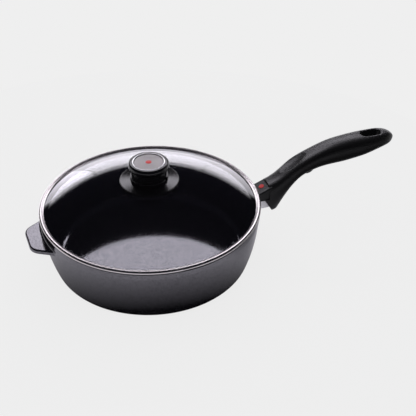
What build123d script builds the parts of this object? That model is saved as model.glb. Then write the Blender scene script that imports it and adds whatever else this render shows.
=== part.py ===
from build123d import *
import os
from math import atan2, cos, hypot, radians, sin, sqrt

# A deep saute pan with a vented glass lid and one long moulded handle.
# Everything is in millimetres. The origin is the centre of the pan's base, on the face that stands
# on the hob. +X runs along the long handle, away from the pan, and +Z is up.

overrun = 1.0                     # how far every cut runs past the face it opens

# Pan body: a casting with a flat machined base, a curved wall and a thicker band at the rim.
pan_height = 80.0
pan_rim_radius = 141.4
lip_height = 8.0
lip_proud = 0.6
lip_bevel = 0.9
wall = 2.9
floor_thickness = 5.5
base_inset = 24.3                 # rim's outside in to the edge of the flat base
outer_corner_radius = 12.0
inner_corner_radius = 14.0
corner_turn = 71.0                # degrees that each corner arc turns before the wall's long arc
rim_outer_round = 1.3
rim_inner_round = 0.8
base_groove_width = 2.4
base_groove_depth = 0.4
base_groove_shares = (0.30, 0.53, 0.76)

# Helper ear, cast with the pan on the side away from the long handle.
ear_length = 19.9                 # beyond the rim
ear_outer_width = 44.0
ear_root_width = 80.0
ear_root_inset = 10.5             # how far inside the rim the plan of the ear starts
ear_corner_radius = 17.0
ear_drop = 13.5                   # pan's rim to the ear's top
ear_thickness = 6.4
ear_edge_round = 2.0
ear_root_fillet = 3.0
ear_wall = 5.0
ear_pocket_depth = 2.6

# Lug, cast with the pan, that the long handle slides over.
lug_length = 32.6                 # beyond the rim
lug_width = 20.0
lug_height = 18.5
lug_drop = 17.5                   # pan's rim to the lug's top
lug_edge_round = 1.6
lug_root_fillet = 2.0
socket_clearance = 0.15

# Screw that holds the handle, in the lug's end face.
screw_shank_radius = 3.0
screw_thread_length = 15.0        # in the lug
screw_thread_clearance = 0.05
screw_hole_spare = 2.0            # blind hole left past the screw's end
screw_head_radius = 5.0
screw_head_height = 3.4
screw_head_round = 0.8
screw_hex_width = 4.0
screw_hex_depth = 2.2
handle_seat_thickness = 3.5       # handle left between the lug's end face and the washer
screw_hole_clearance = 0.3
washer_radius = 6.0
washer_thickness = 1.0
washer_recess_clearance = 0.4

# Long handle: a moulding that rises from the lug, levels out and ends in a broad rounded grip.
handle_start_gap = 8.6            # pan's rim to the first section of the path
handle_start_drop = 8.15         # lug's middle down to the middle of that section
handle_length = 197.0
handle_rise = 71.3
handle_half_height = 16.2
handle_half_width = 16.8
section_square_share = 0.709      # how square the sections are: 0.552 is an ellipse, 1 nearly a box
# Each section's place along the length, height along the rise, half height and half width.
handle_station_shares = (
    (0.000, 0.000, 1.698, 0.869),
    (0.065, 0.173, 1.397, 0.861),
    (0.131, 0.337, 1.055, 0.857),
    (0.201, 0.506, 0.770, 0.860),
    (0.276, 0.673, 0.716, 0.869),
    (0.352, 0.769, 0.748, 0.870),
    (0.432, 0.834, 0.823, 0.887),
    (0.518, 0.879, 0.933, 0.941),
    (0.603, 0.901, 0.995, 0.970),
    (0.688, 0.922, 0.976, 0.991),
    (0.769, 0.943, 0.904, 0.998),
    (0.839, 0.967, 0.791, 0.945),
    (0.894, 0.983, 0.703, 0.862),
    (0.935, 0.984, 0.612, 0.751),
    (0.965, 0.976, 0.500, 0.605),
    (0.986, 0.966, 0.345, 0.410),
    (1.000, 0.955, 0.140, 0.170),
)
shoulder_gap = 20.6               # pan's rim to the handle's upright front face, behind the nose
foot_gap = 13.5                   # pan's rim to the front of the ledge under the nose
foot_tilt = 30.5                  # degrees that the foot's front face leans back towards the pan
foot_lap = 1.1                    # ledge above the nose's lower edge
face_edge_round = 0.8
hook_drop = 6.4                   # lug's underside to the lowest point of the handle
hook_round = 7.0

# Nose: the stepped-down collar of the handle, over the lug, that reaches to the pan.
nose_gap = 2.1                    # pan's rim to the nose's front face
nose_wall = 2.85                  # beside the lug
nose_skirt = 4.0                  # how far the nose's sides hang over the lug
nose_front_cover = 6.9            # nose above the lug, at its front
nose_back_cover = 15.5
nose_inside = 22.0                # front face to the end of the nose inside the handle
nose_top_round = 2.6
nose_edge_round = 1.2

# Thumb rest, a long shallow hollow in the top of the handle.
thumb_place_share = 0.275         # along the handle's length
thumb_tilt = 30.5                 # degrees that the hollow rises towards the handle's end
thumb_long_radius = 95.0          # of the hollow's floor, along the handle
thumb_cross_radius = 18.0         # and across it
thumb_depth = 4.5
thumb_edge_round = 0.6

# Finger stop, a low rounded ridge across the handle's underside.
stop_place_share = 0.339
stop_radius = 12.0
stop_proud = 2.4
stop_width = 23.0
stop_end_round = 7.0

# Hang slot, through the broad end of the handle.
slot_place_share = 0.835
slot_length = 29.5
slot_width = 13.6
slot_edge_round = 2.2

# Plain round badge in the top of the nose.
badge_inset = 11.5                # nose's front face to the badge's middle
badge_radius = 3.7
badge_thickness = 1.6
badge_dome = 0.5
badge_clearance = 0.05

# Rolled steel band round the glass, with a skirt that hangs inside the pan's rim.
band_overhang = 1.0               # beyond the pan's rim
band_height = 3.8
band_sheet = 0.5
band_rest_gap = 0.3               # between the pan's rim and the band that rests on it
band_lip_width = 6.2              # from the bead's outside to the lip's inner edge
band_lip_drop = 0.35              # bead's top down to the lip where it starts
band_lip_fall = 0.55              # from there down to the lip's inner edge
band_top_round = 2.1
band_foot_round = 1.2
band_line_place = 3.9             # fine line between lip and bead, from the bead's outside
band_line_width = 0.5
band_line_depth = 0.25
skirt_clearance = 1.0             # between the skirt and the pan's inner rim
skirt_depth = 5.0                 # below the pan's rim

# Domed glass.
glass_thickness = 4.0
glass_crown = 40.0                # top of the dome above the pan's rim
glass_seat_clearance = 0.05
glass_edge_room = 2.5             # between the glass's edge and the bead
glass_hole_radius = 10.6
glass_hole_round = 0.6

# Knob base: a flange on the glass and a collar that the turning knob sits on.
gasket_thickness = 0.8
gasket_inset = 3.5                # gasket's edge inside the flange's edge
seal_clearance = 0.05
flange_radius = 37.5
flange_edge_height = 2.4
flange_edge_round = 0.9
flange_rise = 1.1                 # from the flange's edge to the foot of the collar
collar_radius = 24.0
collar_height = 5.3
collar_wall = 3.8
collar_round = 0.8
base_floor_thickness = 2.3
spigot_clearance = 0.2            # in the glass's hole
spigot_inside = 0.6               # spigot's end above the glass's underside
boss_radius = 5.4
boss_height = 1.9
port_radius = 1.6
port_circle = 7.4
port_count = 4
vent_count = 2
vent_width = 6.0
vent_height = 2.8
vent_azimuth = -41.0              # degrees, from +X

# Turning knob.
knob_turn_gap = 0.1               # between collar and neck, face to face
knob_skirt_gap = 0.3
knob_skirt_wall = 1.6
neck_radius = 22.4
neck_height = 9.5
cap_radius = 25.7
cap_flare_turn = 70.0             # degrees that the cap's underside leans out
cap_under_round = 2.4
cap_side_height = 1.9
cap_shoulder_round = 3.1
chamber_depth = 2.3               # hollow under the knob's floor
knob_floor_thickness = 3.7
head_room_radius = 12.0
insert_recess = 1.7               # top of the cap down to the step that bezel and disc sit on
bezel_radius = 20.6
bezel_width = 1.5
bezel_height = 2.0
bezel_round = 0.6
insert_clearance = 0.05
disc_gap = 0.8                    # dark groove between bezel and disc
disc_thickness = 1.3
disc_edge_round = 0.3
dot_radius = 3.8
dot_recess = 0.6
dot_dome = 0.5

# Shouldered bolt through the knob and the glass, with its dished washer above and seal, washer and
# nut below.
shoulder_radius = 4.0
shoulder_clearance = 0.05
bolt_head_radius = 7.5
bolt_head_height = 4.0
bolt_head_round = 0.6
bolt_slot_width = 1.6
bolt_slot_depth = 1.6
thread_radius = 3.0
thread_clearance = 0.05
bolt_hole_clearance = 0.2
bolt_end_spare = 2.0              # thread showing below the nut
spring_width = 2.9
spring_sheet = 0.6
spring_height = 1.1
lower_gasket_width = 6.4
lower_gasket_thickness = 1.2
lid_washer_radius = 17.0
lid_washer_thickness = 1.2
nut_flats = 10.0
nut_height = 5.0
nut_chamfer = 0.6


def sphere_height(radius, crown, reach):
    """Height, at the distance reach from the axis, of a sphere whose top is at crown."""
    return crown - radius + sqrt(radius ** 2 - reach ** 2)


# Pan body.
base_radius = pan_rim_radius - base_inset
wall_top_radius = pan_rim_radius - lip_proud
inner_rim_radius = wall_top_radius - wall
turn = radians(corner_turn)
corner_end = base_radius + outer_corner_radius * sin(turn)
corner_end_height = outer_corner_radius * (1 - cos(turn))
inner_corner_height = floor_thickness + inner_corner_radius * (1 - cos(turn))
# The cavity's corner ends on a line that runs beside the outer wall, one wall thickness inside it.
along_wall = (inner_corner_height - corner_end_height - wall * cos(turn)) / sin(turn)
inner_corner_end = corner_end - wall * sin(turn) + along_wall * cos(turn)
inner_flat_radius = inner_corner_end - inner_corner_radius * sin(turn)
ear_root = pan_rim_radius - ear_root_inset
ear_reach = pan_rim_radius + ear_length
ear_top = pan_height - ear_drop
ear_bottom = ear_top - ear_thickness
lug_end = pan_rim_radius + lug_length
lug_top = pan_height - lug_drop
lug_bottom = lug_top - lug_height
lug_middle = (lug_top + lug_bottom) / 2
ear_corners = (
    (-ear_root, -ear_root_width / 2),
    (-ear_root, ear_root_width / 2),
    (-ear_reach, ear_outer_width / 2),
    (-ear_reach, -ear_outer_width / 2),
)


def root_edges(side):
    """Edges where a piece cast with the pan leaves its outer wall: side is -1 at the ear, 1 at the lug."""
    return pan_body.edges().filter_by(GeomType.BSPLINE).filter_by(
        lambda edge: side * edge.center().X > 0
        and all(corner_end < hypot(*tuple(edge @ share)[:2]) < wall_top_radius for share in (0, 1))
    )


with BuildPart() as pan_body:
    with BuildSketch(Plane.XZ):
        with BuildLine():
            under = Line((0, 0), (base_radius, 0))
            corner = JernArc(under @ 1, (1, 0), outer_corner_radius, corner_turn)
            side = TangentArc(corner @ 1, (wall_top_radius, pan_height), tangent=corner % 1)
            Polyline(side @ 1, (0, pan_height), (0, 0))
        make_face()
        with BuildLine():
            Polyline(
                (inner_rim_radius, pan_height),
                (pan_rim_radius, pan_height),
                (pan_rim_radius, pan_height - lip_height),
                (wall_top_radius - lip_bevel, pan_height - lip_height - lip_bevel),
                (inner_rim_radius, pan_height - lip_height - lip_bevel),
                close=True,
            )
        make_face()
    revolve(axis=Axis.Z)

    # The ear's plate, with rounded corners and edges and a fillet where it leaves the wall.
    with BuildSketch(Plane.XY.offset(ear_bottom)) as ear_plan:
        Polygon(*ear_corners, align=None)
        fillet(ear_plan.vertices().group_by(Axis.X)[0], ear_corner_radius)
    extrude(amount=ear_thickness)
    ear_faces = pan_body.faces().filter_by(Plane.XY).filter_by(
        lambda face: ear_bottom - overrun < face.center().Z < ear_top + overrun
    )
    rim_of_ear = ear_faces.edges().filter_by(lambda edge: edge.center().X < -pan_rim_radius - lip_bevel)
    fillet(rim_of_ear, ear_edge_round)

    # The lug, through the wall until the cavity trims it.
    with BuildSketch(Plane.YZ.offset(corner_end)) as lug_section:
        with Locations((0, lug_middle)):
            Rectangle(lug_width, lug_height)
        fillet(lug_section.vertices(), lug_edge_round)
    extrude(amount=lug_end - corner_end)

    # The cavity.
    with BuildSketch(Plane.XZ):
        with BuildLine():
            bottom = Line((0, floor_thickness), (inner_flat_radius, floor_thickness))
            inner_corner = JernArc(bottom @ 1, (1, 0), inner_corner_radius, corner_turn)
            inner_side = TangentArc(
                inner_corner @ 1, (inner_rim_radius, pan_height), tangent=inner_corner % 1
            )
            Polyline(
                inner_side @ 1,
                (inner_rim_radius, pan_height + overrun),
                (0, pan_height + overrun),
                (0, floor_thickness),
            )
        make_face()
    revolve(axis=Axis.Z, mode=Mode.SUBTRACT)

    rim = pan_body.edges().filter_by(GeomType.CIRCLE).group_by(Axis.Z)[-1].sort_by(SortBy.RADIUS)
    fillet(rim[-1], rim_outer_round)
    rim = pan_body.edges().filter_by(GeomType.CIRCLE).group_by(Axis.Z)[-1].sort_by(SortBy.RADIUS)
    fillet(rim[0], rim_inner_round)

    # Fillets where ear and lug leave the wall.
    fillet(root_edges(-1), ear_root_fillet)
    fillet(root_edges(1), lug_root_fillet)

    # Hollow under the ear, which leaves a lip for the fingers.
    with BuildSketch(Plane.XY.offset(ear_bottom - overrun)) as ear_hollow:
        Polygon(*ear_corners, align=None)
        fillet(ear_hollow.vertices().group_by(Axis.X)[0], ear_corner_radius)
        offset(amount=-ear_wall)
        Circle(pan_rim_radius + ear_wall / 2, mode=Mode.SUBTRACT)
    extrude(amount=ear_pocket_depth + overrun, mode=Mode.SUBTRACT)

    # Turned grooves in the base.
    with BuildSketch(Plane.XY):
        for share in base_groove_shares:
            Circle(share * base_radius + base_groove_width / 2)
            Circle(share * base_radius - base_groove_width / 2, mode=Mode.SUBTRACT)
    extrude(amount=base_groove_depth, mode=Mode.SUBTRACT)

    # Tapped hole in the lug's end face.
    with Locations(Plane.YZ.offset(lug_end)):
        with Locations((0, lug_middle)):
            Hole(
                screw_shank_radius + screw_thread_clearance,
                depth=screw_thread_length + screw_hole_spare,
            )
pan_body.part.label = "pan_body"

# Long handle. The nose is shaped first, by itself, so that its edges can be rounded.
nose_front = pan_rim_radius + nose_gap
nose_back = nose_front + nose_inside
nose_bottom = lug_top - nose_skirt
nose_width = lug_width + 2 * (socket_clearance + nose_wall)
nose_slope = atan2(nose_back_cover - nose_front_cover, nose_inside)

with BuildPart() as nose:
    with BuildSketch(Plane.XZ):
        Polygon(
            (nose_front, nose_bottom),
            (nose_back, nose_bottom),
            (nose_back, lug_top + nose_back_cover),
            (nose_front, lug_top + nose_front_cover),
            align=None,
        )
    extrude(amount=nose_width / 2, both=True)
    crown = nose.faces().sort_by(Axis.Z)[-1]
    fillet(crown.edges().sort_by(Axis.Y)[0], nose_top_round)
    crown = nose.faces().sort_by(Axis.Z)[-1]
    fillet(crown.edges().sort_by(Axis.Y)[-1], nose_top_round)
    fillet(nose.faces().sort_by(Axis.X)[0].edges(), nose_edge_round)

handle_start = pan_rim_radius + handle_start_gap
handle_start_height = lug_middle - handle_start_drop
sections = [
    (
        handle_start + place * handle_length,
        handle_start_height + rise * handle_rise,
        tall * handle_half_height,
        wide * handle_half_width,
    )
    for place, rise, tall, wide in handle_station_shares
]


def section_plane(index):
    """Plane square to the handle's path at one section, its own x across the handle."""
    before = sections[max(index - 1, 0)]
    after = sections[min(index + 1, len(sections) - 1)]
    lean = atan2(after[1] - before[1], after[0] - before[0])
    here = sections[index]
    return Plane(origin=(here[0], 0, here[1]), x_dir=(0, 1, 0), z_dir=(cos(lean), 0, sin(lean)))


def path_at(share):
    """Reach, height, half height and lean of the handle at a share of its length."""
    reach = handle_start + share * handle_length
    for near, far in zip(sections, sections[1:]):
        if near[0] <= reach <= far[0]:
            part = (reach - near[0]) / (far[0] - near[0])
            height = near[1] + part * (far[1] - near[1])
            tall = near[2] + part * (far[2] - near[2])
            return reach, height, tall, atan2(far[1] - near[1], far[0] - near[0])
    raise ValueError("the share lies off the handle")


# The handle's front stands upright behind the nose, steps out to a ledge under it and leans back from
# there to the foot.
hook_bottom = lug_bottom - hook_drop
shoulder_reach = pan_rim_radius + shoulder_gap
ledge_reach = pan_rim_radius + foot_gap
ledge_height = nose_bottom + foot_lap
foot_lean = radians(foot_tilt)
foot_reach = ledge_reach + (ledge_height - hook_bottom + overrun) * sin(foot_lean) / cos(foot_lean)
thumb_reach, thumb_height, thumb_tall = path_at(thumb_place_share)[:3]
thumb_lean = radians(thumb_tilt)
thumb_lift = thumb_tall - thumb_depth + thumb_long_radius
stop_reach, stop_height, stop_tall, stop_lean = path_at(stop_place_share)
stop_depth = stop_tall + stop_proud - stop_radius
slot_reach, slot_height, slot_tall, slot_lean = path_at(slot_place_share)
slot_plane = Plane(
    origin=(slot_reach, 0, slot_height),
    x_dir=(cos(slot_lean), 0, sin(slot_lean)),
    z_dir=(-sin(slot_lean), 0, cos(slot_lean)),
)
seat_reach = lug_end + socket_clearance + handle_seat_thickness
# The badge lies in a flat recess, square to the nose's sloping top.
badge_plane = Plane(
    origin=(
        nose_front + badge_inset,
        0,
        lug_top + nose_front_cover + badge_inset * sin(nose_slope) / cos(nose_slope),
    ),
    x_dir=(cos(nose_slope), 0, sin(nose_slope)),
    z_dir=(-sin(nose_slope), 0, cos(nose_slope)),
)

# Finger stop, by itself, so that its ends can be rounded.
with BuildPart() as finger_stop:
    with BuildSketch(Plane.XZ):
        with Locations(
            (
                stop_reach + sin(stop_lean) * stop_depth,
                stop_height - cos(stop_lean) * stop_depth,
            )
        ):
            Circle(stop_radius)
    extrude(amount=stop_width / 2, both=True)
    fillet(finger_stop.edges().filter_by(GeomType.CIRCLE), stop_end_round)

with BuildPart() as handle_grip:
    for index, (reach, height, tall, wide) in enumerate(sections):
        across = section_square_share * wide
        upward = section_square_share * tall
        with BuildSketch(section_plane(index)):
            with BuildLine():
                Bezier((wide, 0), (wide, upward), (across, tall), (0, tall))
                Bezier((0, tall), (-across, tall), (-wide, upward), (-wide, 0))
                Bezier((-wide, 0), (-wide, -upward), (-across, -tall), (0, -tall))
                Bezier((0, -tall), (across, -tall), (wide, -upward), (wide, 0))
            make_face()
    loft()
    split(bisect_by=Plane.XY.offset(hook_bottom), keep=Keep.TOP)
    with BuildSketch(Plane.XZ):
        Polygon(
            (ledge_reach, ledge_height),
            (shoulder_reach, ledge_height),
            (shoulder_reach, hook_bottom + handle_rise),
            (base_radius, hook_bottom + handle_rise),
            (base_radius, hook_bottom - overrun),
            (foot_reach, hook_bottom - overrun),
            align=None,
        )
    extrude(amount=2 * handle_half_width, both=True, mode=Mode.SUBTRACT)

    # The foot's back edge is rounded off, then the outline of its leaning face.
    foot = handle_grip.faces().sort_by(Axis.Z)[0]
    fillet(foot.edges().sort_by(Axis.X)[1:], hook_round)
    leaning_face = handle_grip.faces().filter_by(GeomType.PLANE).filter_by(
        lambda face: hook_bottom < face.center().Z < ledge_height and face.center().X < lug_end
    )
    fillet(leaning_face.edges(), face_edge_round)
    add(finger_stop.part)

    # Thumb rest, cut by the outside of a large ring that stands along the handle.
    with Locations(
        (
            thumb_reach - sin(thumb_lean) * thumb_lift,
            0,
            thumb_height + cos(thumb_lean) * thumb_lift,
        )
    ):
        Torus(
            thumb_long_radius - thumb_cross_radius,
            thumb_cross_radius,
            rotation=(90, 0, 0),
            mode=Mode.SUBTRACT,
        )
    thumb_rim = handle_grip.faces(Select.LAST).filter_by(GeomType.TORUS).edges()
    fillet(thumb_rim, thumb_edge_round)

    # Hang slot.
    with BuildSketch(slot_plane):
        SlotOverall(slot_length, slot_width)
    extrude(amount=2 * slot_tall, both=True, mode=Mode.SUBTRACT)
    slot_rims = handle_grip.edges(Select.LAST).filter_by(GeomType.BSPLINE)
    fillet(slot_rims, slot_edge_round)

    add(nose.part)

    # Socket for the lug, open towards the pan and below the nose.
    with BuildSketch(Plane.YZ.offset(nose_front - overrun)) as socket_section:
        with Locations((0, lug_middle)):
            Rectangle(lug_width + 2 * socket_clearance, lug_height + 2 * socket_clearance)
        fillet(socket_section.vertices(), lug_edge_round + socket_clearance)
    extrude(amount=lug_end + socket_clearance - nose_front + overrun, mode=Mode.SUBTRACT)

    # Screw hole and the deep round recess, open under the handle, for washer and head.
    with BuildSketch(Plane.YZ.offset(lug_end)):
        with Locations((0, lug_middle)):
            Circle(screw_shank_radius + screw_hole_clearance)
    extrude(amount=seat_reach - lug_end + overrun, mode=Mode.SUBTRACT)
    with BuildSketch(Plane.YZ.offset(seat_reach)):
        with Locations((0, lug_middle)):
            Circle(washer_radius + washer_recess_clearance)
    extrude(amount=handle_half_height, mode=Mode.SUBTRACT)

    # Round recess for the badge.
    with BuildSketch(badge_plane.offset(overrun)):
        Circle(badge_radius + badge_clearance)
    extrude(amount=-(badge_thickness + overrun), mode=Mode.SUBTRACT)
handle_grip.part.label = "handle_grip"

with BuildPart() as handle_badge:
    with BuildSketch(badge_plane.offset(-badge_thickness)):
        Circle(badge_radius)
    extrude(amount=badge_thickness + badge_dome)
    fillet(handle_badge.edges().filter_by(GeomType.CIRCLE).sort_by(Axis.Z)[-1], badge_dome)
handle_badge.part.label = "handle_badge"

with BuildPart() as handle_washer:
    with BuildSketch(Plane.YZ.offset(seat_reach)):
        with Locations((0, lug_middle)):
            Circle(washer_radius)
            Circle(screw_shank_radius + screw_hole_clearance, mode=Mode.SUBTRACT)
    extrude(amount=washer_thickness)
handle_washer.part.label = "handle_washer"

head_seat = seat_reach + washer_thickness
with BuildPart() as handle_screw:
    with BuildSketch(Plane.YZ.offset(lug_end - screw_thread_length)):
        with Locations((0, lug_middle)):
            Circle(screw_shank_radius)
    extrude(amount=head_seat + screw_head_height - lug_end + screw_thread_length)
    with BuildSketch(Plane.YZ.offset(head_seat)):
        with Locations((0, lug_middle)):
            Circle(screw_head_radius)
    extrude(amount=screw_head_height)
    fillet(handle_screw.edges().filter_by(GeomType.CIRCLE).sort_by(Axis.X)[-1], screw_head_round)
    with BuildSketch(Plane.YZ.offset(head_seat + screw_head_height)):
        with Locations((0, lug_middle)):
            RegularPolygon(screw_hex_width / 2, 6, major_radius=False)
    extrude(amount=-screw_hex_depth, mode=Mode.SUBTRACT)
handle_screw.part.label = "handle_screw"

# Lid: the steel band first, because the glass takes its edge from it.
band_radius = pan_rim_radius + band_overhang
band_bottom = pan_height + band_rest_gap
band_top = band_bottom + band_height
shelf_top = band_bottom + band_sheet
lip_top = band_top - band_lip_drop
lip_edge_top = lip_top - band_lip_fall
lip_radius = band_radius - band_lip_width
line_radius = band_radius - band_line_place
skirt_radius = inner_rim_radius - skirt_clearance
skirt_bottom = pan_height - skirt_depth

with BuildPart() as lid_rim:
    with BuildSketch(Plane.XZ):
        with BuildLine():
            lip = Polyline(
                (lip_radius, lip_edge_top - band_sheet),
                (lip_radius, lip_edge_top),
                (line_radius - band_line_width / 2, lip_top),
                (line_radius, lip_top - band_line_depth),
                (line_radius + band_line_width / 2, band_top),
                (band_radius - band_top_round, band_top),
            )
            bead = JernArc(lip @ 1, (1, 0), band_top_round, -90)
            side = Line(bead @ 1, (band_radius, band_bottom + band_foot_round))
            foot = JernArc(side @ 1, (0, -1), band_foot_round, -90)
            skirt = Polyline(
                foot @ 1,
                (skirt_radius, band_bottom),
                (skirt_radius, skirt_bottom),
                (skirt_radius - band_sheet, skirt_bottom),
                (skirt_radius - band_sheet, shelf_top),
                (band_radius - band_foot_round, shelf_top),
            )
            inner_foot = JernArc(skirt @ 1, (1, 0), band_foot_round - band_sheet, 90)
            inner_side = Line(inner_foot @ 1, (band_radius - band_sheet, band_top - band_top_round))
            inner_bead = JernArc(inner_side @ 1, (0, 1), band_top_round - band_sheet, 90)
            Polyline(
                inner_bead @ 1,
                (line_radius + band_line_width / 2, band_top - band_sheet),
                (line_radius, lip_top - band_sheet),
                (lip_radius, lip_edge_top - band_sheet),
            )
        make_face()
    revolve(axis=Axis.Z)
lid_rim.part.label = "lid_rim"

# Domed glass. The dome passes just under the band's lip; its edge is a flat flange inside the band.
crown_height = pan_height + glass_crown
flange_top = lip_edge_top - band_sheet - glass_seat_clearance
flange_bottom = shelf_top + glass_seat_clearance
glass_edge_radius = band_radius - band_sheet - glass_edge_room
sag = crown_height - flange_top
dome_radius = (lip_radius ** 2 + sag ** 2) / (2 * sag)
inner_dome_radius = dome_radius - glass_thickness
inner_crown = crown_height - glass_thickness
flange_inner_radius = sqrt(inner_dome_radius ** 2 - (flange_bottom - inner_crown + inner_dome_radius) ** 2)


def dome(reach):
    """Point on the glass's outer surface, as radius and height."""
    return (reach, sphere_height(dome_radius, crown_height, reach))


def inner_dome(reach):
    """Point on the glass's inner surface, as radius and height."""
    return (reach, sphere_height(inner_dome_radius, inner_crown, reach))


with BuildPart() as lid_glass:
    with BuildSketch(Plane.XZ):
        with BuildLine():
            over = ThreePointArc(dome(glass_hole_radius), dome(lip_radius / 2), dome(lip_radius))
            edge = Polyline(
                over @ 1,
                (glass_edge_radius, flange_top),
                (glass_edge_radius, flange_bottom),
                (flange_inner_radius, flange_bottom),
            )
            beneath = ThreePointArc(
                edge @ 1, inner_dome(lip_radius / 2), inner_dome(glass_hole_radius)
            )
            Line(beneath @ 1, over @ 0)
        make_face()
    revolve(axis=Axis.Z)
    hole_rims = lid_glass.edges().filter_by(GeomType.CIRCLE).sort_by(SortBy.RADIUS)[:2]
    fillet(hole_rims, glass_hole_round)
lid_glass.part.label = "lid_glass"

# Knob base: its underside follows the dome, one gasket above it.
base_underside_radius = dome_radius + gasket_thickness
base_underside_crown = crown_height + gasket_thickness


def under_base(reach, gap=0):
    """Point on the knob base's underside, or a gap below it, as radius and height."""
    return (reach, sphere_height(base_underside_radius - gap, base_underside_crown - gap, reach))


spigot_radius = glass_hole_radius - spigot_clearance
spigot_bottom = inner_crown + spigot_inside
flange_edge_top = under_base(flange_radius)[1] + flange_edge_height
collar_foot = flange_edge_top + flange_rise
collar_top = collar_foot + collar_height
collar_inner_radius = collar_radius - collar_wall
collar_floor = base_underside_crown + base_floor_thickness
boss_top = collar_floor + boss_height
bolt_hole_radius = thread_radius + bolt_hole_clearance

with BuildPart() as knob_base:
    with BuildSketch(Plane.XZ):
        with BuildLine():
            spigot = Polyline(
                (bolt_hole_radius, spigot_bottom),
                (spigot_radius, spigot_bottom),
                under_base(spigot_radius),
            )
            beneath = ThreePointArc(
                spigot @ 1, under_base((spigot_radius + flange_radius) / 2), under_base(flange_radius)
            )
            rim = Line(beneath @ 1, (flange_radius, flange_edge_top - flange_edge_round))
            roll = JernArc(rim @ 1, (0, 1), flange_edge_round, 90)
            collar = Polyline(
                roll @ 1,
                (collar_radius, collar_foot),
                (collar_radius, collar_top - collar_round),
            )
            collar_roll = JernArc(collar @ 1, (0, 1), collar_round, 90)
            Polyline(
                collar_roll @ 1,
                (collar_inner_radius, collar_top),
                (collar_inner_radius, collar_floor),
                (boss_radius, collar_floor),
                (boss_radius, boss_top),
                (bolt_hole_radius, boss_top),
                (bolt_hole_radius, spigot_bottom),
            )
        make_face()
    revolve(axis=Axis.Z)

    # Steam notches in the collar's top edge.
    with BuildSketch(Plane.XY.offset(collar_top - vent_height)):
        with PolarLocations(collar_radius - collar_wall / 2, vent_count, start_angle=vent_azimuth):
            Rectangle(2 * collar_wall, vent_width)
    extrude(amount=vent_height + overrun, mode=Mode.SUBTRACT)

    # Steam ports down through floor and spigot.
    with BuildSketch(Plane.XY.offset(collar_floor)):
        with PolarLocations(port_circle, port_count):
            Circle(port_radius)
    extrude(amount=spigot_bottom - collar_floor - overrun, mode=Mode.SUBTRACT)
knob_base.part.label = "knob_base"

# Seal between the knob base and the glass, a little clear of both curved faces.
gasket_inner_radius = spigot_radius + spigot_clearance
gasket_radius = flange_radius - gasket_inset
with BuildPart() as lid_gasket_top:
    with BuildSketch(Plane.XZ):
        gasket_under = gasket_thickness - seal_clearance
        with BuildLine():
            over = ThreePointArc(
                under_base(gasket_inner_radius, seal_clearance),
                under_base(gasket_radius / 2, seal_clearance),
                under_base(gasket_radius, seal_clearance),
            )
            outside = Line(over @ 1, under_base(gasket_radius, gasket_under))
            beneath = ThreePointArc(
                outside @ 1,
                under_base(gasket_radius / 2, gasket_under),
                under_base(gasket_inner_radius, gasket_under),
            )
            Line(beneath @ 1, over @ 0)
        make_face()
    revolve(axis=Axis.Z)
lid_gasket_top.part.label = "lid_gasket_top"

# Seal below the glass: its top follows the glass, its bottom is flat.
washer_top = inner_crown - lower_gasket_thickness
lower_gasket_inner_radius = port_circle + port_radius + spigot_inside
lower_gasket_radius = lower_gasket_inner_radius + lower_gasket_width
with BuildPart() as lid_gasket_bottom:
    with BuildSketch(Plane.XZ):
        with BuildLine():
            over = ThreePointArc(
                *[
                    (reach, inner_dome(reach)[1] - seal_clearance)
                    for reach in (
                        lower_gasket_inner_radius,
                        (lower_gasket_inner_radius + lower_gasket_radius) / 2,
                        lower_gasket_radius,
                    )
                ]
            )
            Polyline(
                over @ 1,
                (lower_gasket_radius, washer_top),
                (lower_gasket_inner_radius, washer_top),
                over @ 0,
            )
        make_face()
    revolve(axis=Axis.Z)
lid_gasket_bottom.part.label = "lid_gasket_bottom"

washer_bottom = washer_top - lid_washer_thickness
with BuildPart() as lid_washer:
    with BuildSketch(Plane.XY.offset(washer_bottom)):
        Circle(lid_washer_radius)
        Circle(bolt_hole_radius, mode=Mode.SUBTRACT)
        with PolarLocations(port_circle, port_count):
            Circle(port_radius, mode=Mode.SUBTRACT)
    extrude(amount=lid_washer_thickness)
lid_washer.part.label = "lid_washer"

nut_bottom = washer_bottom - nut_height
with BuildPart() as lid_nut:
    with BuildSketch(Plane.XY.offset(nut_bottom)):
        RegularPolygon(nut_flats / 2, 6, major_radius=False)
    extrude(amount=nut_height)
    # The nut's corners are turned down to a cone at both ends.
    with BuildSketch(Plane.XZ):
        with BuildLine():
            Polyline(
                (0, nut_bottom),
                (nut_flats / 2, nut_bottom),
                (nut_flats / 2 + 2 * nut_chamfer, nut_bottom + nut_chamfer),
                (nut_flats / 2 + 2 * nut_chamfer, washer_bottom - nut_chamfer),
                (nut_flats / 2, washer_bottom),
                (0, washer_bottom),
                close=True,
            )
        make_face()
    revolve(axis=Axis.Z, mode=Mode.INTERSECT)
    with BuildSketch(Plane.XY.offset(nut_bottom)):
        Circle(thread_radius + thread_clearance)
    extrude(amount=nut_height, mode=Mode.SUBTRACT)
lid_nut.part.label = "lid_nut"

# Turning knob: skirt inside the collar, neck, cap with an overhanging edge and a stepped recess.
knob_skirt_radius = collar_inner_radius - knob_skirt_gap
knob_skirt_bottom = collar_floor + knob_skirt_gap
neck_bottom = collar_top + knob_turn_gap
neck_top = neck_bottom + neck_height
flare = radians(cap_flare_turn)
cap_lower_round = (cap_radius - neck_radius) / (1 - cos(flare)) - cap_under_round
chamber_top = collar_top + chamber_depth
knob_floor_top = chamber_top + knob_floor_thickness
cap_side_top = neck_top + (cap_under_round + cap_lower_round) * sin(flare) + cap_side_height
cap_top = cap_side_top + cap_shoulder_round
insert_seat = cap_top - insert_recess
insert_radius = bezel_radius + insert_clearance
knob_bore_radius = shoulder_radius + shoulder_clearance

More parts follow.
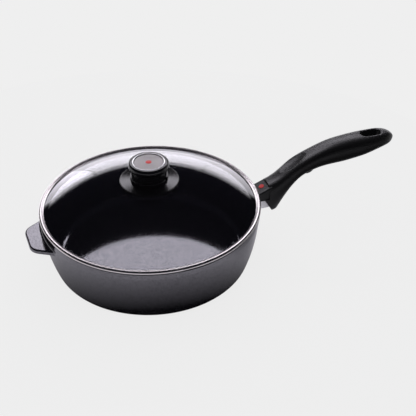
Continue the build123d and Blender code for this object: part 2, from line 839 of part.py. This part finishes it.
with BuildPart() as knob_grip:
    with BuildSketch(Plane.XZ):
        with BuildLine():
            skirt = Polyline(
                (knob_bore_radius, chamber_top),
                (knob_skirt_radius - knob_skirt_wall, chamber_top),
                (knob_skirt_radius - knob_skirt_wall, knob_skirt_bottom),
                (knob_skirt_radius, knob_skirt_bottom),
                (knob_skirt_radius, neck_bottom),
                (neck_radius, neck_bottom),
                (neck_radius, neck_top),
            )
            hollow = JernArc(skirt @ 1, (0, 1), cap_under_round, -cap_flare_turn)
            swell = JernArc(hollow @ 1, hollow % 1, cap_lower_round, cap_flare_turn)
            cap_side = Line(swell @ 1, (cap_radius, cap_side_top))
            shoulder = JernArc(cap_side @ 1, (0, 1), cap_shoulder_round, 90)
            Polyline(
                shoulder @ 1,
                (insert_radius, cap_top),
                (insert_radius, insert_seat),
                (head_room_radius, insert_seat),
                (head_room_radius, knob_floor_top),
                (knob_bore_radius, knob_floor_top),
                (knob_bore_radius, chamber_top),
            )
        make_face()
    revolve(axis=Axis.Z)

    # Notches in the skirt. They meet the collar's steam notches when the knob is turned a quarter.
    with BuildSketch(Plane.XY.offset(knob_skirt_bottom - overrun)):
        with PolarLocations(
            knob_skirt_radius - knob_skirt_wall / 2, vent_count, start_angle=vent_azimuth - 90
        ):
            Rectangle(2 * knob_skirt_wall, vent_width)
    extrude(amount=neck_bottom - knob_skirt_bottom, mode=Mode.SUBTRACT)
knob_grip.part.label = "knob_grip"

with BuildPart() as knob_bezel:
    with BuildSketch(Plane.XZ) as bezel_section:
        with Locations((bezel_radius - bezel_width / 2, insert_seat + bezel_height / 2)):
            Rectangle(bezel_width, bezel_height)
        fillet(bezel_section.vertices().group_by(Axis.Y)[-1], bezel_round)
    revolve(axis=Axis.Z)
knob_bezel.part.label = "knob_bezel"

disc_radius = bezel_radius - bezel_width - disc_gap
disc_top = insert_seat + disc_thickness
with BuildPart() as knob_disc:
    with BuildSketch(Plane.XY.offset(insert_seat)):
        Circle(disc_radius)
    extrude(amount=disc_thickness)
    fillet(knob_disc.edges().filter_by(GeomType.CIRCLE).sort_by(Axis.Z)[-1], disc_edge_round)
    with BuildSketch(Plane.XY.offset(disc_top)):
        Circle(dot_radius + insert_clearance)
    extrude(amount=-dot_recess, mode=Mode.SUBTRACT)
knob_disc.part.label = "knob_disc"

dot_bottom = disc_top - dot_recess
with BuildPart() as knob_dot:
    with BuildSketch(Plane.XZ):
        with BuildLine():
            swell = TangentArc((0, disc_top + dot_dome), (dot_radius, disc_top), tangent=(1, 0))
            Polyline(swell @ 1, (dot_radius, dot_bottom), (0, dot_bottom), swell @ 0)
        make_face()
    revolve(axis=Axis.Z)
knob_dot.part.label = "knob_dot"

# Bolt: head inside the knob, shoulder on the base's boss, thread down through the glass.
spring_top = knob_floor_top + spring_height
bolt_end = nut_bottom - bolt_end_spare
with BuildPart() as knob_bolt:
    with BuildSketch(Plane.XY.offset(bolt_end)):
        Circle(thread_radius)
    extrude(amount=spring_top - bolt_end)
    with BuildSketch(Plane.XY.offset(boss_top)):
        Circle(shoulder_radius)
    extrude(amount=spring_top - boss_top)
    with BuildSketch(Plane.XY.offset(spring_top)):
        Circle(bolt_head_radius)
    extrude(amount=bolt_head_height)
    fillet(knob_bolt.edges().filter_by(GeomType.CIRCLE).sort_by(Axis.Z)[-1], bolt_head_round)
    with BuildSketch(Plane.XY.offset(spring_top + bolt_head_height)):
        Rectangle(2 * bolt_head_radius, bolt_slot_width)
    extrude(amount=-bolt_slot_depth, mode=Mode.SUBTRACT)
knob_bolt.part.label = "knob_bolt"

spring_inner_radius = knob_bore_radius + insert_clearance
with BuildPart() as knob_spring_washer:
    with BuildSketch(Plane.XZ):
        Polygon(
            (spring_inner_radius, spring_top - spring_sheet),
            (spring_inner_radius + spring_width, knob_floor_top),
            (spring_inner_radius + spring_width, knob_floor_top + spring_sheet),
            (spring_inner_radius, spring_top),
            align=None,
        )
    revolve(axis=Axis.Z)
knob_spring_washer.part.label = "knob_spring_washer"

os.makedirs("parts", exist_ok=True)
for piece in (
    pan_body,
    handle_grip,
    handle_badge,
    handle_screw,
    handle_washer,
    lid_glass,
    lid_rim,
    lid_gasket_top,
    lid_gasket_bottom,
    lid_washer,
    lid_nut,
    knob_base,
    knob_bolt,
    knob_grip,
    knob_spring_washer,
    knob_bezel,
    knob_disc,
    knob_dot,
):
    export_step(piece.part, f"parts/{piece.part.label}.step")
    print(piece.part.label, len(piece.part.solids()), piece.part.is_valid, round(piece.part.volume))
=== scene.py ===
# %% [markdown]
# # Dressing a saute pan with its lid
#
# The pan's solids come ready made from the part's source: a cast pan, a moulded handle, a domed glass
# lid in a rolled steel band and a black turning knob. What they lack is their looks. In this lesson
# every piece gets the finish of the real one, and the pan is set on a pale floor under soft lamps.
#
# One unit is one metre. The origin is the middle of the pan's base, +X runs along the long handle and
# +Z is up. The solids stay exactly where they are: only materials are added to them.

from math import pi, radians

import bmesh
import bpy
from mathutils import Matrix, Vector


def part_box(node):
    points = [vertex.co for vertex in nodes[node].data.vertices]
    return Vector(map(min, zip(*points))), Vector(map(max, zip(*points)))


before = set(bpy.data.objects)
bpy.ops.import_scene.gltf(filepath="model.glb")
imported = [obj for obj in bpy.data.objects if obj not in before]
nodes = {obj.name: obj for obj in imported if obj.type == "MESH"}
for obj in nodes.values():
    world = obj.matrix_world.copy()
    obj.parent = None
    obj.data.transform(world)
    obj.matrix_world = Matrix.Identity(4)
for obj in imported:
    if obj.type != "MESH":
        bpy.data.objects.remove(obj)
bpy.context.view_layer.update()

# %% [markdown]
# ## A small language for finishes
#
# A finish is a net of shader nodes. Wired by hand, even "one minus the mask" takes four lines, so a
# small class wraps a socket and lets Python's own signs add the Math nodes. Every other kind of node
# comes from one method, which sets the node's own options first and its sockets after that. A number
# or colour that is the same all over a piece is set on the shader's socket directly.

# %% The socket that understands arithmetic


class Number:
    """A number that a node works out at every point of a surface."""

    def __init__(self, finish, socket):
        self.finish = finish
        self.socket = socket

    def _with(self, operation, first, second):
        return self.finish.node("Math", {"operation": operation}, {0: first, 1: second})

    def __add__(self, other):
        return self._with("ADD", self, other)

    __radd__ = __add__

    def __sub__(self, other):
        return self._with("SUBTRACT", self, other)

    def __rsub__(self, other):
        return self._with("SUBTRACT", other, self)

    def __mul__(self, other):
        return self._with("MULTIPLY", self, other)

    __rmul__ = __mul__

    def __pow__(self, other):
        return self._with("POWER", self, other)


# %% The finish, which makes nodes and hands out patterns


class Finish:
    """One material and the net of nodes behind it."""

    def __init__(self, name):
        self.material = bpy.data.materials.new(name)
        self.material.use_nodes = True
        self.tree = self.material.node_tree
        self.tree.nodes.clear()
        self.out = self.tree.nodes.new("ShaderNodeOutputMaterial")

    def node(self, kind, options=None, sockets=None, output=0):
        """Adds one node: its options are set first, then its sockets get their values or links."""
        made = self.tree.nodes.new("ShaderNode" + kind)
        for name, option in (options or {}).items():
            setattr(made, name, option)
        for name, value in (sockets or {}).items():
            if isinstance(value, Number):
                self.tree.links.new(value.socket, made.inputs[name])
            else:
                made.inputs[name].default_value = value
        return Number(self, made.outputs[output])

    def place(self):
        """Where a point lies on the object, in metres."""
        return self.node("TexCoord", output="Object")

    def split(self, vector):
        made = self.node("SeparateXYZ", sockets={"Vector": vector}).socket.node
        return [Number(self, made.outputs[axis]) for axis in "XYZ"]

    def join(self, x, y, z):
        return self.node("CombineXYZ", sockets={"X": x, "Y": y, "Z": z})

    def noise(self, per_metre, detail=2.0, rough=0.5, vector=None):
        """Soft noise with this many waves in a metre."""
        sockets = {"Scale": per_metre, "Detail": detail, "Roughness": rough}
        sockets["Vector"] = vector or self.place()
        return self.node("TexNoise", sockets=sockets)

    def spread(self, value, low, high, to_low, to_high):
        """Maps one stretch of a number on another, and holds it at the ends."""
        sockets = {"Value": value, "From Min": low, "From Max": high}
        sockets.update({"To Min": to_low, "To Max": to_high})
        return self.node("MapRange", sockets=sockets)

    def blend(self, share, first, second):
        """Mixes two colours. A Mix node has more sockets named A and B, so these go by number."""
        colour_a = 6
        colour_b = 7
        colour_result = 2
        sockets = {"Factor": share, colour_a: first, colour_b: second}
        return self.node("Mix", {"data_type": "RGBA"}, sockets, colour_result)

    def layer(self, share, first, second):
        """Mixes two shaders: the second one gets this share."""
        factor, under, over = 0, 1, 2
        return self.node("MixShader", sockets={factor: share, under: first, over: second})

    def rays(self, *kinds):
        """For each kind of ray, a number that is one for that kind and zero for all others."""
        made = self.node("LightPath").socket.node
        return [Number(self, made.outputs["Is " + kind + " Ray"]) for kind in kinds]

    def bump(self, height, strength, distance, over=None):
        """Tilts the surface by a pattern, whose full height is this distance in metres."""
        sockets = {"Height": height, "Strength": strength, "Distance": distance}
        if over is not None:
            sockets["Normal"] = over
        return self.node("Bump", sockets=sockets)

    def principled(self, **sockets):
        """The shader for solid things. A socket's name is written with underscores for its spaces."""
        named = {name.replace("_", " "): value for name, value in sockets.items()}
        return self.node("BsdfPrincipled", sockets=named)

    def done(self, shader):
        """Joins the last shader to the output, and hands the material over."""
        self.tree.links.new(shader.socket, self.out.inputs["Surface"])
        print("finish:", self.material.name, "nodes:", len(self.tree.nodes))
        return self.material


def reach(across, along):
    """How far two steps at right angles lead."""
    return (across * across + along * along) ** 0.5


def rings(finish, per_metre, detail=2.0):
    """Noise in fine rings round the upright axis, as turning on a lathe leaves."""
    x, y, z = finish.split(finish.place())
    return finish.noise(per_metre, detail, 0.6, finish.join(reach(x, y), z, 0.0))


def put_on(material, *names):
    """Gives the finish to the nodes of these names."""
    for name in names:
        nodes[name].data.materials.clear()
        nodes[name].data.materials.append(material)
    print(material.name, "on", ", ".join(names))


# %% [markdown]
# ## The pan's coating
#
# The real pan is cast aluminium under a dark non-stick coating. The coat is sprayed on and baked, so it
# is smooth but not mirror smooth: a satin gloss with a very fine orange peel and tiny mineral specks.
# It could be a flat grey with some roughness, but then the wide walls look like paper. A fine Voronoi
# grain changes its colour and roughness a little, and a soft noise gives the orange peel as a bump. A
# second noise makes small patches a little metallic. On so dark a colour that dulls the sheen, which
# gives the mottle that shows where the pan's floor catches the light.
#
# The lug under the handle is bare, dull aluminium past the pan's rim. A mask on the place, taken from
# the rim's own radius, paints it in a pale metal colour there.

# %% Coating
rim_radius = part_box("pan_body")[1].y
bare_from = rim_radius - 0.0009
bare_fully = rim_radius + 0.0006
lug_top = 0.0625
lug_top_blur = 0.0007

coating = Finish("pan_coating")
grain = coating.node(
    "TexVoronoi", sockets={"Vector": coating.place(), "Scale": 900.0, "Randomness": 1.0}
)
speck = coating.spread(grain, 0.10, 0.42, 1.0, 0.0)
cloud = coating.noise(38.0, 3.0)
peel = coating.noise(520.0, 2.0)
grit = coating.spread(coating.noise(620.0, 3.0, 0.6), 0.46, 0.64, 0.0, 0.42)
wear = coating.noise(7.0, 4.0)
coat_colour = coating.blend(
    speck * (0.35 + 0.4 * cloud), (0.0055, 0.0052, 0.0068, 1.0), (0.042, 0.040, 0.048, 1.0)
)
x, _, z = coating.split(coating.place())
past_rim = coating.spread(x, bare_from, bare_fully, 0.0, 1.0)
bare = past_rim * coating.spread(z, lug_top, lug_top + lug_top_blur, 1.0, 0.0)
coat_colour = coating.blend(bare, coat_colour, (0.80, 0.79, 0.83, 1.0))
coat_normal = coating.bump(peel, 0.10, 0.0002)
coat_normal = coating.bump(speck, 0.10, 0.00008, coat_normal)
coating_material = coating.done(
    coating.principled(
        Base_Color=coat_colour,
        Metallic=0.15 * bare + grit * (1.0 - bare),
        Roughness=0.055 + 0.05 * speck + 0.02 * wear + 0.3 * bare,
        IOR=2.15,
        Specular_Tint=(0.95, 0.93, 1.0, 1.0),
        Normal=coat_normal,
    )
)
put_on(coating_material, "pan_body")
print("bare metal from x =", round(bare_from, 4))

# %% [markdown]
# ## The handle's moulding
#
# The long handle is a black heat-proof moulding. Its mould was etched, so the skin is matte with a fine
# pebble that breaks the highlight along its back. The pebble is far too fine to model. A bump from two
# noises gives it, and a slow noise keeps the colour and the gloss from being even, as hands leave them.

# %% Handle moulding
handle = Finish("handle_black")
pebble = handle.noise(1500.0, 2.0, 0.6)
ripple = handle.noise(260.0, 2.0)
hands = handle.noise(22.0, 3.0)
handle_normal = handle.bump(pebble, 0.30, 0.00022)
handle_normal = handle.bump(ripple, 0.10, 0.0003, handle_normal)
handle_colour = handle.blend(hands, (0.0011, 0.0010, 0.0013, 1.0), (0.0024, 0.0022, 0.0027, 1.0))
handle_material = handle.done(
    handle.principled(
        Base_Color=handle_colour,
        Roughness=0.33 + 0.10 * hands + 0.06 * pebble,
        IOR=1.45,
        Normal=handle_normal,
    )
)
put_on(handle_material, "handle_grip")

# %% [markdown]
# ## The knob's moulding
#
# The knob and the flange under it are polished black plastic. They show sharper reflections than the
# handle. A slow noise in the colour and the roughness stands for finger marks, and a very fine bump
# keeps the reflections from being perfect.

# %% Knob moulding
knob = Finish("knob_black")
marks = knob.noise(60.0, 4.0)
skin = knob.noise(900.0, 2.0)
knob_colour = knob.blend(marks, (0.0015, 0.0014, 0.0018, 1.0), (0.0032, 0.0030, 0.0038, 1.0))
knob_material = knob.done(
    knob.principled(
        Base_Color=knob_colour,
        Roughness=0.11 + 0.08 * marks,
        IOR=1.6,
        Normal=knob.bump(skin, 0.10, 0.0001),
    )
)
put_on(knob_material, "knob_base", "knob_grip")

# %% [markdown]
# ## The lid's glass
#
# The lid is a 4 mm dome of tempered glass. Looked at from above it is all but clear. Near its far edge
# the glance is so flat that it mirrors the pale room behind the pan. A full glass shader would bend
# every ray twice and leave the inside of the pan noisy and too dark. So a clear and a mirroring shader
# are mixed instead, by how flat the glance is: 3.5% of the light comes back where the eye looks
# straight on, and all of it at the flattest glance, with a steep curve between.

# %% Glass
glass = Finish("lid_glass")
facing = glass.node("LayerWeight", sockets={"Blend": 0.5}, output="Facing")
smear = glass.noise(30.0, 3.0)
straight_on_share = 0.035
mirror_share = straight_on_share + (1.0 - straight_on_share) * facing ** 4.0
clear = glass.node("BsdfTransparent", sockets={"Color": (0.985, 0.988, 0.99, 1.0)})
gloss = glass.node(
    "BsdfAnisotropic",
    sockets={"Color": (0.975, 0.96, 1.0, 1.0), "Roughness": 0.004 + 0.010 * smear},
)
glass_material = glass.done(glass.layer(mirror_share, clear, gloss))
put_on(glass_material, "lid_glass")

# %% [markdown]
# ## Steel
#
# The band round the glass is a rolled stainless strip. It was brushed while it turned, so its fine
# lines run round it. Noise that only changes with the distance from the axis draws such lines, as
# roughness and as bump, and a slow noise tarnishes the colour a little. The small fasteners have a
# plainer, duller steel, and the ring in the knob's cap is polished bright.

# %% Band, fasteners and the knob's bright ring
band = Finish("rim_steel")
brush = rings(band, 5200.0)
tarnish = band.noise(24.0, 4.0)
band_colour = band.blend(tarnish, (0.60, 0.56, 0.56, 1.0), (0.69, 0.66, 0.66, 1.0))
band_material = band.done(
    band.principled(
        Base_Color=band_colour,
        Metallic=1.0,
        Roughness=0.13 + 0.10 * brush + 0.05 * tarnish,
        Normal=band.bump(brush, 0.18, 0.00006),
    )
)
put_on(band_material, "lid_rim")

steel = Finish("steel_plain")
rolled = steel.noise(700.0, 3.0)
steel_colour = steel.blend(rolled, (0.46, 0.45, 0.45, 1.0), (0.58, 0.57, 0.57, 1.0))
steel_material = steel.done(
    steel.principled(
        Base_Color=steel_colour,
        Metallic=1.0,
        Roughness=0.24 + 0.16 * rolled,
        Normal=steel.bump(rolled, 0.12, 0.0001),
    )
)
put_on(steel_material, "handle_screw", "handle_washer", "lid_washer", "lid_nut")
put_on(steel_material, "knob_bolt", "knob_spring_washer")

bright = Finish("bezel_chrome")
polish = rings(bright, 2600.0)
bright_colour = bright.blend(polish, (0.80, 0.79, 0.80, 1.0), (0.88, 0.87, 0.88, 1.0))
bright_material = bright.done(
    bright.principled(
        Base_Color=bright_colour,
        Metallic=1.0,
        Roughness=0.07 + 0.06 * polish,
        Normal=bright.bump(polish, 0.04, 0.00004),
    )
)
put_on(bright_material, "knob_bezel")

# %% [markdown]
# ## The spun disc
#
# The metal disc inside that ring was faced on a lathe. Its surface is a set of very fine rings, which
# catch the light as soft fans. Fine rings of noise change its colour and its slope, and wider rings
# change its roughness.

# %% Disc
disc = Finish("disc_metal")
fine_rings = rings(disc, 4200.0, 3.0)
wide_rings = rings(disc, 900.0, 2.0)
disc_colour = disc.blend(fine_rings, (0.28, 0.265, 0.265, 1.0), (0.52, 0.50, 0.50, 1.0))
disc_material = disc.done(
    disc.principled(
        Base_Color=disc_colour,
        Metallic=1.0,
        Roughness=0.26 + 0.16 * wide_rings,
        Normal=disc.bump(fine_rings, 0.90, 0.00012),
    )
)
put_on(disc_material, "knob_disc")

# %% [markdown]
# ## Red dots and rubber
#
# Two small plain red dots mark the handle's nose and the middle of the knob. They are enamelled, so a
# clear coat lies over the colour. The seals under the knob are black rubber, dull and slightly dusty.

# %% Dots and seals
dot = Finish("badge_red")
depth = dot.noise(420.0, 2.0)
dot_colour = dot.blend(depth, (0.52, 0.012, 0.014, 1.0), (0.68, 0.022, 0.022, 1.0))
dot_material = dot.done(
    dot.principled(
        Base_Color=dot_colour,
        Roughness=0.25 + 0.1 * depth,
        Coat_Weight=0.6 + 0.2 * depth,
        Coat_Roughness=0.05,
        Normal=dot.bump(depth, 0.05, 0.0001),
    )
)
put_on(dot_material, "handle_badge", "knob_dot")

rubber = Finish("seal_rubber")
bloom = rubber.noise(180.0, 3.0)
rubber_colour = rubber.blend(bloom, (0.010, 0.010, 0.011, 1.0), (0.026, 0.026, 0.028, 1.0))
rubber_material = rubber.done(
    rubber.principled(
        Base_Color=rubber_colour,
        Roughness=0.62 + 0.2 * bloom,
        Normal=rubber.bump(bloom, 0.2, 0.0002),
    )
)
put_on(rubber_material, "lid_gasket_top", "lid_gasket_bottom")

# %% [markdown]
# ## The camera
#
# The camera was fitted on the pan's rim, base and handle in the photograph: about 1.2 m away, looking
# down 35 degrees, with the handle swung 20 degrees from the picture plane. The room's dark end and the
# lamps are placed from where it stands, so three directions are kept: behind the pan as the camera sees
# it, beside it to the right, and up.

# %% Camera
lens = 78.55
sensor = 36.0
nearest = 0.02
tilt = radians(54.82)
turn = radians(-20.0)
eye = Vector((-0.2581, -0.9260, 0.7512))
behind = Vector((-eye.x, -eye.y, 0.0)).normalized()
beside = Vector((behind.y, -behind.x, 0.0))
up = Vector((0.0, 0.0, 1.0))

camera_data = bpy.data.cameras.new("camera")
camera_data.sensor_width = sensor
camera_data.lens = lens
camera_data.clip_start = nearest
camera = bpy.data.objects.new("camera", camera_data)
bpy.context.scene.collection.objects.link(camera)
camera.location = eye
camera.rotation_euler = (tilt, 0.0, turn)
bpy.context.scene.camera = camera
bpy.context.scene.view_settings.view_transform = "Standard"
print("camera distance:", round(eye.length, 3))

# %% [markdown]
# ## The studio floor
#
# The pan stands on a round pale sheet. The eye sees it almost even, at the same pale grey as the room, so
# its edge doesn't show, and a small share of true shading keeps a soft part of the shadow that the pan
# throws. Things that shine see the sheet too, and for them alone it carries painted shadows: it darkens
# close to the pan, a painted shadow of the pan that gives the pan's wall a dark foot, and over a patch
# before the handle, a painted shadow of the handle that keeps the handle's near side black.

# %% The sheet
pale = (0.863, 0.863, 0.863, 1.0)
sheet_radius = 0.55

floor_shape = bmesh.new()
bmesh.ops.create_circle(floor_shape, cap_ends=True, segments=96, radius=sheet_radius)
floor_mesh = bpy.data.meshes.new("floor")
floor_shape.to_mesh(floor_mesh)
floor_shape.free()
floor = bpy.data.objects.new("floor", floor_mesh)
bpy.context.scene.collection.objects.link(floor)
print("floor radius:", sheet_radius)

# %% What the sheet looks like, to the eye and in a reflection
# All of these are metres on the floor, but for the three shares of light and the stretch.
even_share = 0.93
# Painted shadow of the pan on the sheet, seen only in reflections: black close to the pan, fading out to
# the pale sheet.
dark_middle = Vector((-0.006, -0.015))
dark_stretch = 1.10
dark_within = 0.120
pale_beyond = 0.215
# Painted shadow of the handle: a dark patch on the sheet before the handle, seen only in reflections.
handle_shadow_start = 0.30
handle_shadow_stop = 0.40
handle_shadow_line = -0.10
handle_shadow_within = 0.07
handle_shadow_beyond = 0.17
handle_shadow_share = 0.03
white_share = (0.85, 0.835, 0.895, 1.0)

sheet = Finish("studio_sheet")
camera_ray, glossy_ray = sheet.rays("Camera", "Glossy")
x, y, _ = sheet.split(sheet.place())
from_pan = reach(dark_stretch * (x - dark_middle.x), y - dark_middle.y)
nearest_on_handle_shadow = sheet.node("Clamp", sockets={"Value": x, "Min": handle_shadow_start, "Max": handle_shadow_stop})
from_handle_shadow = reach(x - nearest_on_handle_shadow, y - handle_shadow_line)
# The two painted shadows, shown only where the sheet is seen in a reflection.
painted_pan_shadow = sheet.spread(from_pan, dark_within, pale_beyond, 0.0, 1.0)
painted_handle_shadow = sheet.spread(from_handle_shadow, handle_shadow_within, handle_shadow_beyond, handle_shadow_share, 1.0)
# The sheet as reflections see it: pale, darkened by the painted shadows of the pan and the handle.
mirrored_sheet = sheet.blend(painted_pan_shadow * painted_handle_shadow, (0.0, 0.0, 0.0, 1.0), white_share)
lit = sheet.node("BsdfDiffuse", sockets={"Color": (0.86, 0.86, 0.86, 1.0)})
even = sheet.node("Emission", sockets={"Color": pale, "Strength": 1.0})
in_gloss = sheet.node("Emission", sockets={"Color": mirrored_sheet, "Strength": 1.0})
shown = sheet.layer(glossy_ray, lit, in_gloss)
floor_mesh.materials.append(sheet.done(sheet.layer(even_share * camera_ray, shown, even)))

# %% [markdown]
# ## The room
#
# The eye sees the room as the same even pale grey as the sheet, and it lights the pan evenly from all
# sides. Things that shine see a pale band along the horizon behind the pan. Above it they see a dark
# ceiling, and behind the camera the dark end of a studio. That is why the glass stays deep and clear
# from above and mirrors only near its far edge, and why the handle's near side stays black.

# %% Room
band_top = 0.18
ceiling_from = 0.21
pale_end = -0.1
dark_from = 0.3
even_light = (0.80, 0.80, 0.81, 1.0)
studio_dark = (0.009, 0.009, 0.014, 1.0)

world = bpy.data.worlds.new("room")
bpy.context.scene.world = world
world.use_nodes = True


class Room(Finish):
    """The world's own net of nodes, with the same signs and patterns."""

    def __init__(self, made):
        self.material = made
        self.tree = made.node_tree
        self.tree.nodes.clear()
        self.out = self.tree.nodes.new("ShaderNodeOutputWorld")


room = Room(world)
camera_ray, glossy_ray, transmission_ray = room.rays("Camera", "Glossy", "Transmission")
x, y, z = room.split(room.node("TexCoord", output="Generated"))
toward_camera = -behind.x * x - behind.y * y
ceiling = room.spread(z, band_top, ceiling_from, 0.0, 1.0)
camera_end = room.spread(toward_camera, pale_end, dark_from, 0.0, 1.0)
dark_share = room.node("Clamp", sockets={"Value": ceiling + camera_end})
mirrored = room.blend(dark_share, pale, studio_dark)
lit_or_mirrored = room.blend(glossy_ray, even_light, mirrored)
or_seen = room.blend(camera_ray, lit_or_mirrored, pale)
backdrop = room.blend(transmission_ray, or_seen, pale)
room.done(room.node("Background", sockets={"Color": backdrop, "Strength": 1.0}))

# %% [markdown]
# ## Lamps
#
# Large soft lamps light the pan. The first hangs high behind it, just where a flat top mirrors it to the
# eye: it gives the ear, the pan's floor and the knob's flange their grey sheen. It is flagged off the
# glass, as a photographer's black card would do, so the lid stays clear. Two more lamps stand higher and
# reach only the handle, for the long highlight on its back and the broad one beyond the thumb rest.
# Three strips stand low behind the pan, for the bright crescent in the far edge of the glass, and are
# flagged off the pan. A lamp shines along its own minus Z, so that is turned to its aim.

# %% A lamp of a chosen brightness
lamp_tint = (0.95, 0.92, 1.0)


def softbox(name, place, aim, width, height, radiance, reaches):
    """A flat lamp whose face looks this bright, whatever its size, and that lights only some pieces."""
    data = bpy.data.lights.new(name, "AREA")
    data.shape = "RECTANGLE"
    data.size = width
    data.size_y = height
    data.color = lamp_tint
    data.energy = radiance * pi * width * height
    lamp = bpy.data.objects.new(name, data)
    bpy.context.scene.collection.objects.link(lamp)
    lamp.location = place
    lamp.rotation_euler = (aim - place).to_track_quat("-Z", "Y").to_euler()
    lamp.visible_camera = False
    receivers = bpy.data.collections.new(name + "_reaches")
    lamp.light_linking.receiver_collection = receivers
    for piece in reaches:
        receivers.objects.link(piece)
    print("lamp:", name, "watts:", round(data.energy, 1))


# %% The high softbox, the handle's two lamps and the low strips
all_but_glass = [piece for name, piece in nodes.items() if name != "lid_glass"] + [floor]
all_but_pan = [piece for name, piece in nodes.items() if name != "pan_body"]
handle_only = [nodes["handle_grip"]]
at_rim = 0.08 * up
at_glass = 0.10 * up
at_thumb_rest = 0.22 * beside + 0.13 * up
# Each row: name, metres behind, beside and above the pan, aim, width, height, brightness, what it reaches.
lamps = (
    ("high_softbox", 1.26, 0.20, 1.045, at_rim, 1.4, 0.245, 3.15, all_but_glass),
    ("handle_softbox", 1.10, 0.45, 1.20, at_rim, 1.2, 0.6, 3.6, handle_only),
    ("thumb_softbox", 0.28, -0.23, 1.32, at_thumb_rest, 0.9, 0.7, 6.0, handle_only),
    ("low_strip_left", 1.30, -0.8, 0.01, at_glass, 0.8, 0.66, 1.9, all_but_pan),
    ("low_strip_middle", 1.30, 0.0, 0.01, at_glass, 0.8, 0.66, 1.0, all_but_pan),
    ("low_strip_right", 1.30, 0.8, 0.01, at_glass, 0.8, 0.66, 1.1, all_but_pan),
)
for name, back, side, rise, aim, width, height, radiance, reaches in lamps:
    place = back * behind + side * beside + rise * up
    softbox(name, place, aim, width, height, radiance, reaches)
